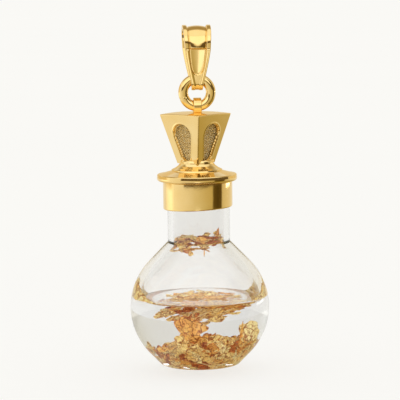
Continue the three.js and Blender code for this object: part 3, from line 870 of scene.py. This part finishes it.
class Leaves:
    """Scraps gathered into one mesh, each vertex kept inside the flask's hollow."""

    def __init__(self, seed):
        self.rng = random.Random(seed)
        self.points, self.faces, self.tones = [], [], []

    def add(self, at, turn, length, width, crumple, tone, **shape):
        points, faces, rim_shade = scrap(self.rng, length, width, crumple, **shape)
        rotate = Euler(turn).to_matrix()
        start = len(self.points)
        for p in points:
            q = rotate @ Vector(p) + Vector(at)
            self.points.append(self.inside(q))
        self.faces += [tuple(start + i for i in face) for face in faces]
        # Painted shade: each scrap is a little darker at its rim.
        self.tones += [clipped(tone - 0.16 * dark) for dark in rim_shade]

    def inside(self, q):
        clearance = 0.07 + 0.03 * self.rng.random()
        z = min(max(q.z, CAVITY_FLOOR + clearance), FLANGE_UNDER - LEAF_CEILING)
        wall = wall_at(z, clearance)
        r = math.hypot(q.x, q.y)
        if r > wall:
            return (q.x * wall / r, q.y * wall / r, z)
        return (q.x, q.y, z)

    def build(self, name, leaf, *nodes):
        dress_leaf(mesh_object(name, self.points, self.faces, [leaf]), self.tones, *nodes)


def dress_leaf(made, tones, *nodes):
    """Stores the scraps' tones, breaks the shading at sharp folds, and gives the leaf its place."""
    set_points(made, "tone", tones)
    made.data.set_sharp_from_angle(angle=LEAF_FOLD)
    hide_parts(*nodes)
    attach(made, "drop")


def spiral(count):
    """Places spread evenly over a disc of radius 1, as (radius, angle)."""
    return [(math.sqrt((i + 0.5) / count), i * GOLDEN_ANGLE) for i in range(count)]


def heap_top(x, y):
    """The height of the settled leaf, higher in the middle and to the right."""
    r = math.hypot(x, y) / HEAP_RADIUS
    lump = 0.3 * noise.noise(Vector((x * 0.5, y * 0.5, 4.2)))
    return CAVITY_FLOOR + 2.95 - 1.25 * r * r + 0.1 * x + lump


# Broad flakes at the heap's front: place over the flask's floor, turn, length, width, tone and point.
HEAP_FLAKES = [
    ((4.1, -1.4, 3.1), (1.35, 0.0, 0.1), 2.1, 2.35, 0.8, 0.0),
    ((3.2, -1.7, 3.05), (1.45, 0.1, -0.1), 0.62, 2.3, 0.42, 0.75),
    ((1.38, -3.8, 1.62), (1.05, 0.15, 0.15), 1.8, 2.05, 0.74, 0.0),
    ((-0.76, -3.85, 1.55), (1.15, -0.2, -0.1), 1.35, 2.4, 0.72, 0.0),
    ((0.15, -3.0, 2.3), (0.9, 0.5, 0.2), 0.9, 1.1, 0.12, 0.0),
    ((1.75, -1.6, 2.95), (1.1, 0.2, 0.4), 0.75, 0.7, 0.08, 0.0),
    ((2.7, -3.1, 1.9), (1.2, 0.4, 0.1), 0.75, 1.6, 0.14, 0.2),
    ((0.9, -1.4, 2.9), (0.8, -0.3, 0.1), 1.2, 0.8, 0.7, 0.0),
    ((-2.2, -3.3, 1.75), (1.0, -0.3, -0.3), 1.5, 1.6, 0.66, 0.0),
    ((-1.6, -1.9, 2.7), (0.9, 0.2, 0.2), 1.5, 1.1, 0.68, 0.0),
    ((-3.5, -2.2, 1.75), (0.8, -0.4, -0.2), 1.4, 1.2, 0.5, 0.0),
    ((2.2, -4.0, 1.0), (1.2, 0.2, 0.3), 1.5, 0.9, 0.6, 0.0),
    ((3.6, -3.0, 1.4), (1.0, 0.5, 0.4), 1.3, 1.1, 0.3, 0.0),
]


def build_heap(leaf):
    heap = Leaves(11)
    rng = heap.rng
    for r, a in spiral(260):
        r *= HEAP_RADIUS
        x, y = r * math.cos(a), r * math.sin(a)
        top = heap_top(x, y)
        z = top - rng.random() ** 1.6 * (top - CAVITY_FLOOR)
        turn = (rng.gauss(0, 0.6), rng.gauss(0, 0.6), rng.uniform(0, 2 * math.pi))
        size = rng.uniform(0.8, 1.7)
        tone = pick_tone(rng, 0.72, 0.46, 0.2, 0.4, 0.15)
        heap.add((x, y, z), turn, size, size * rng.uniform(0.5, 0.9), 0.3, tone + rng.gauss(0, 0.07))
    for (x, y, rise), turn, length, width, tone, point in HEAP_FLAKES:
        at = (x, y, CAVITY_FLOOR + rise)
        heap.add(at, turn, length, width, 0.28, tone, point=point, rings=10, around=32)
    heap.build("heap_scraps", leaf, "leaf_heap")


# The hanging sheet, its edge and the tips of the raft's wings: place under the liquid's level, turn,
# length, width, crumple, tone, point, rings and points around.
RAFT_FLAKES = [
    ((-0.9, -1.5, 2.75), (1.35, 0.3, 0.1), 1.2, 1.9, 0.25, 0.4, -1.5, 10, 32),
    ((-1.4, -1.4, 3.2), (1.4, 0.9, 0.2), 0.7, 1.1, 0.25, 0.5, 0.0, 8, 24),
    ((-3.0, -0.7, 1.6), (0.9, -0.25, 0.1), 1.9, 0.36, 0.12, 0.7, 0.0, 8, 24),
    ((3.4, -0.5, 0.95), (0.9, -0.3, -0.1), 2.0, 0.36, 0.12, 0.7, 0.0, 8, 24),
]


def build_raft(leaf):
    """The floating leaf: a layer on the liquid, a winged tangle that hangs under it, and one sheet
    that hangs lower still."""
    raft = Leaves(23)
    rng = raft.rng
    for r, a in spiral(34):
        x, y = 3.5 * r * math.cos(a) + 0.25, 2.3 * r * math.sin(a)
        turn = (rng.gauss(0, 0.1), rng.gauss(0, 0.1), rng.uniform(-0.5, 0.5))
        z = LIQUID_LEVEL + rng.uniform(-0.05, 0.35) * (1 - 0.5 * r)
        length, width = rng.uniform(1.0, 2.0), rng.uniform(0.7, 1.3)
        raft.add((x, y, z), turn, length, width, 0.2, 0.62 + rng.gauss(0, 0.12))
    count = 110
    for i in range(count):
        across = 2 * (i + 0.5) / count - 1
        x = 0.3 + 3.5 * across
        depth = 1.25 - 0.3 * across + (rng.random() - 0.35) * 1.5 * (1 - across**2)
        y = rng.uniform(-1.7, 1.5) * (1 - 0.6 * across**2)
        turn = (rng.gauss(0.5, 0.4), rng.gauss(0, 0.15) - 0.2, rng.uniform(-0.3, 0.3))
        tone = pick_tone(rng, 0.72, 0.46, 0.2, 0.45, 0.15)
        size = rng.uniform(0.9, 1.6) * (1 - 0.35 * abs(across))
        width = size * rng.uniform(0.25, 0.5) * (1 - 0.4 * abs(across))
        raft.add((x, y, LIQUID_LEVEL - depth), turn, size, width, 0.2, tone)
    for (x, y, depth), *flake, point, rings, around in RAFT_FLAKES:
        raft.add((x, y, LIQUID_LEVEL - depth), *flake, point=point, rings=rings, around=around)
    raft.build("raft_scraps", leaf, "leaf_raft")


def build_neck_leaf(leaf):
    lodged = Leaves(37)
    rng = lodged.rng
    middle = NECK_FOOT - 0.35
    for r, a in spiral(95):
        r *= 2.75
        turn = (rng.gauss(0.25, 0.4), rng.gauss(0, 0.25), rng.uniform(-0.6, 0.6))
        z = middle + rng.gauss(-0.05, 0.4)
        tone = pick_tone(rng, 0.68, 0.42, 0.12, 0.45, 0.2)
        size = rng.uniform(0.8, 1.7)
        at = (r * math.cos(a), r * math.sin(a), z)
        lodged.add(at, turn, size, size * rng.uniform(0.4, 0.7), 0.22, tone)
    for i in range(28):
        side = 1 if i % 2 else -1
        a = rng.uniform(-0.75, 0.5)
        turn = (rng.gauss(0.3, 0.3), side * rng.uniform(0.2, 0.7), rng.uniform(-0.4, 0.4))
        at = (side * 3.0 * math.cos(a), 3.0 * math.sin(a), middle - 0.35 + rng.gauss(0, 0.18))
        length, width = rng.uniform(0.7, 1.1), rng.uniform(0.5, 0.9)
        lodged.add(at, turn, length, width, 0.2, rng.choice((0.7, 0.66, 0.42)))
    # A dark fold on top, a curl beside it, scraps hanging below, and one fine thread.
    lodged.add((0.75, -1.3, middle + 0.72), (0.6, 0.02, 0.0), 2.5, 0.5, 0.2, 0.12)
    lodged.add((1.9, -0.6, middle + 1.05), (1.4, 0.3, 0.2), 0.28, 1.1, 0.2, 0.3)
    lodged.add((-1.3, -1.0, middle - 0.85), (1.0, 0.2, 0.3), 0.9, 0.6, 0.2, 0.3)
    lodged.add((-0.95, -1.1, middle - 1.15), (1.1, 0.0, -0.3), 0.6, 0.5, 0.15, 0.55)
    lodged.add((0.45, -1.0, middle - 1.1), (1.5, 0.0, 0.0), 0.12, 0.8, 0.05, 0.4)
    lodged.build("neck_scraps", leaf, "leaf_neck")


def build_wall_leaf(leaf, side, seed, node):
    """Leaf pressed on the wall beside the liquid: a ragged crescent, tallest at the side and
    tapering towards the front and the back. It sits in the face of the glass."""
    columns, rows, thickness, tallest, sink = 120, 18, 0.05, 1.95, 0.13
    front, back = math.radians(44), math.radians(34)
    points, tones = [], []
    for i in range(columns + 1):
        a = -back + (front + back) * i / columns
        share = abs(a) / (front if a > 0 else back)
        ragged = 1 + 0.25 * noise.noise(Vector((a * 9, seed, 0)))
        ragged += 0.15 * noise.noise(Vector((a * 25, seed, 2)))
        low = LIQUID_LEVEL + MENISCUS_RISE * 0.5 + 0.1 * noise.noise(Vector((a * 7, seed, 5)))
        tall = tallest * max(0.0, 1 - share) ** 1.3 * ragged + 0.02
        column = []
        for j in range(rows + 1):
            z = low + tall * j / rows
            crumple = 0.09 * noise.noise(Vector((a * 11, z * 2.2, seed)))
            tone = 0.7 + 0.5 * noise.noise(Vector((a * 9, z * 1.5, seed)))
            column.append((wall_at(z) + sink + crumple, z, tone))
        ring = [(r + thickness, z, tone) for r, z, tone in column] + column[::-1]
        for r, z, tone in ring:
            points.append((side * r * math.cos(a), -r * math.sin(a), z))
            tones.append(tone)
    count = 2 * (rows + 1)
    faces = skin_faces(columns + 1, count, False)
    faces += [tuple(range(count))[::-1], tuple(columns * count + j for j in range(count))]
    if side > 0:
        faces = [face[::-1] for face in faces]
    name = "wall_scraps_left" if side < 0 else "wall_scraps_right"
    dress_leaf(mesh_object(name, points, faces, [leaf]), tones, node)


def wall_stops(levels):
    """A ramp's stops from the walls' brightness by degrees round from the front, positive to the
    right. What is dark there is warm, as the far side of a room of card and wood is."""
    stops = []
    for degrees, level in levels:
        green, blue = min(1.0, 0.64 + 0.38 * level), min(0.97, max(0.15, 1.45 * level - 0.38))
        stops.append(((degrees + 180) / 360, (level, level * green, level * blue)))
    return stops


def world_range(tree, source, low, high):
    step = tree.nodes.new("ShaderNodeMapRange")
    step.interpolation_type = "SMOOTHSTEP"
    set_inputs(step, {"From Min": low, "From Max": high})
    tree.links.new(source, step.inputs["Value"])
    return step.outputs["Result"]


def world_band(tree, source, low, high, soft):
    """1 between two values of a source and 0 beyond them."""
    rise = world_range(tree, source, low - soft / 2, low + soft / 2)
    fall = world_range(tree, source, high + soft / 2, high - soft / 2)
    return math_node(tree, "MULTIPLY", rise, fall)


BACKDROP = (0.956, 0.947, 0.913)
CEILING = (1.12, 1.12, 1.08)
UNDERNEATH = (0.3, 0.23, 0.12)
PALE_PANEL = (1.35, 1.33, 1.26)
FAR_CEILING = (0.42, 0.33, 0.18)
FAR_WALL = (0.8, 0.66, 0.4)
DARK_BELOW = (0.14, 0.09, 0.04)
DARK_LEVEL = (0.13, 0.09, 0.04)
WINDOW = (3.0, 3.0, 3.0)
FRONT_LIGHT = (2.0, 1.95, 1.86)
# At the part's height, and lower down.
WALLS = [
    (-180, 0.92), (-140, 0.9), (-122, 1.25), (-104, 1.4), (-90, 1.0), (-70, 0.92), (-40, 0.84),
    (-14, 0.72), (19, 0.62), (44, 0.56), (49, 0.12), (66, 0.08), (80, 0.12), (85, 0.66), (109, 0.78),
    (140, 0.86), (180, 0.92),
]
LOW_WALLS = [
    (-180, 0.7), (-130, 0.8), (-85, 0.93), (-45, 0.8), (-14, 0.8), (-10, 1.3), (2, 1.3), (6, 0.75),
    (15, 0.6), (40, 0.3), (65, 0.25), (95, 0.44), (140, 0.5), (180, 0.7),
]
SWEEP_GREYS = [(0.3, (0.198, 0.198, 0.2)), (0.7, (0.202, 0.202, 0.204))]
SWEEP_GLOW = 0.8
SWEEP_DROP = 0.7
SWEEP_REACH = 3000.0


def build_world():
    """A soft studio. What the metal mirrors is a room with darker places in its walls, a bright
    ceiling, a pale panel above the front and a small window at the right. Through the glass the
    front is brighter, which lights the leaf, and the camera sees a plain backdrop."""
    world = bpy.data.worlds.new("studio")
    bpy.context.scene.world = world
    world.use_nodes = True
    tree = world.node_tree
    nodes, links = tree.nodes, tree.links
    nodes.clear()
    place = nodes.new("ShaderNodeTexCoord")
    split = nodes.new("ShaderNodeSeparateXYZ")
    links.new(place.outputs["Generated"], split.inputs["Vector"])
    height = split.outputs["Z"]
    frontwards = math_node(tree, "MULTIPLY", split.outputs["Y"], -1.0)
    azimuth = math_node(tree, "ARCTAN2", split.outputs["X"], frontwards)
    turns = math_node(tree, "MULTIPLY_ADD", azimuth, 1 / (2 * math.pi))
    turns.node.inputs[2].default_value = 0.5
    walls = ramp_node(world, turns, wall_stops(WALLS))
    low_walls = ramp_node(world, turns, wall_stops(LOW_WALLS))
    room = mix_colour(tree, world_range(tree, height, -0.2, -0.45), walls, low_walls)
    room = mix_colour(tree, world_range(tree, height, 0.5, 0.85), room, CEILING)
    room = mix_colour(tree, world_range(tree, height, -0.8, -0.95), room, UNDERNEATH)

    def panel(west, east, low, high, soft):
        """Where a panel of the room hangs: between two bearings and two heights, with soft edges."""
        blur = soft / 360
        across = world_band(tree, turns, (west + 180) / 360, (east + 180) / 360, blur)
        return math_node(tree, "MULTIPLY", across, world_band(tree, height, low, high, soft / 90))

    mirrored = mix_colour(tree, panel(-66, 48, 0.28, 0.74, 8), room, PALE_PANEL)
    beyond = world_range(tree, split.outputs["Y"], 0.05, 0.3)
    far_ceiling = math_node(tree, "MULTIPLY", beyond, world_range(tree, height, 0.35, 0.7))
    mirrored = mix_colour(tree, far_ceiling, mirrored, FAR_CEILING)
    far_wall = math_node(tree, "MULTIPLY", beyond, world_band(tree, height, -0.04, 0.4, 0.08))
    mirrored = mix_colour(tree, far_wall, mirrored, FAR_WALL)
    mirrored = mix_colour(tree, panel(-60, 60, -0.93, -0.68, 4), mirrored, DARK_BELOW)
    mirrored = mix_colour(tree, panel(-52, 97, 0.02, 0.22, 3), mirrored, DARK_LEVEL)
    mirrored = mix_colour(tree, panel(104, 128, -0.05, -0.01, 1), mirrored, WINDOW)
    rays = nodes.new("ShaderNodeLightPath")
    front = world_range(tree, split.outputs["Y"], -0.05, -0.45)
    before = math_node(tree, "MULTIPLY", front, world_range(tree, height, -0.3, 0.1))
    through = mix_colour(tree, before, room, FRONT_LIGHT)
    seen = mix_colour(tree, rays.outputs["Is Glossy Ray"], BACKDROP, mirrored)
    seen = mix_colour(tree, rays.outputs["Is Transmission Ray"], seen, through)
    seen = mix_colour(tree, rays.outputs["Is Camera Ray"], seen, BACKDROP)
    lit = nodes.new("ShaderNodeBackground")
    links.new(seen, lit.inputs["Color"])
    output = nodes.new("ShaderNodeOutputWorld")
    links.new(lit.outputs["Background"], output.inputs["Surface"])


def build_floor():
    """A pale sweep just under the flask. It glows a little, as a lit sweep does."""
    made, shader = material("sweep")
    set_inputs(shader, {"Roughness": 0.9, "Specular IOR Level": 0.0})
    set_inputs(shader, {"Emission Color": (*BACKDROP, 1.0), "Emission Strength": SWEEP_GLOW})
    mottle = noise_node(made, 0.02, 2.0)
    tint = ramp_node(made, mottle, SWEEP_GREYS)
    made.node_tree.links.new(tint, shader.inputs["Base Color"])
    reach, z = SWEEP_REACH, BASE - SWEEP_DROP
    corners = [(-reach, -reach, z), (reach, -reach, z), (reach, reach, z), (-reach, reach, z)]
    floor = mesh_object("sweep_floor", corners, [(0, 1, 2, 3)], [made], smooth=False)
    floor.visible_glossy = False


def build_camera():
    """The photograph's view: a little from above and from the left, through a long lens."""
    azimuth, elevation, roll = map(math.radians, (-5.0, 6.5, -0.75))
    distance, centre_z, centre_x = 241.0, -18.0, 0.17
    data = bpy.data.cameras.new("camera")
    data.angle = math.radians(10.0)
    data.clip_start, data.clip_end = 0.01, 20.0
    camera = bpy.data.objects.new("camera", data)
    bpy.context.scene.collection.objects.link(camera)
    level = math.cos(elevation)
    back = Vector((math.sin(azimuth) * level, -math.cos(azimuth) * level, math.sin(elevation)))
    target = Vector((centre_x, 0, centre_z))
    camera.location = (target + back * distance) * MM
    turn = (-back).to_track_quat("-Z", "Y").to_matrix().to_4x4()
    camera.rotation_euler = (turn @ Matrix.Rotation(roll, 4, "Z")).to_euler()
    bpy.context.scene.camera = camera


def main():
    view = bpy.context.scene.view_settings
    view.view_transform = "Standard"
    view.look = "None"
    gold = gold_material("polished_gold")
    grained = gold_material("grained_gold", grain=True)
    glass = glass_material("clear_glass", clear=0.958, grey=0.91)
    surface = glass_material("liquid_surface", ior=1.36)
    wetted = wetted_material("wetted_glass", 0.085)
    clear = wetted_material("wetted_liquid", 0.0)
    leaf = leaf_material("metal_leaf")
    build_bail(gold)
    build_ring(gold)
    build_eye(gold)
    build_head(grained)
    build_foot(gold)
    build_collar(gold)
    build_flask(glass, wetted)
    build_liquid(surface, clear)
    build_heap(leaf)
    build_raft(leaf)
    build_neck_leaf(leaf)
    build_wall_leaf(leaf, -1, 4.1, "leaf_wall_left")
    build_wall_leaf(leaf, 1, 9.3, "leaf_wall_right")
    build_world()
    build_floor()
    build_camera()


main()
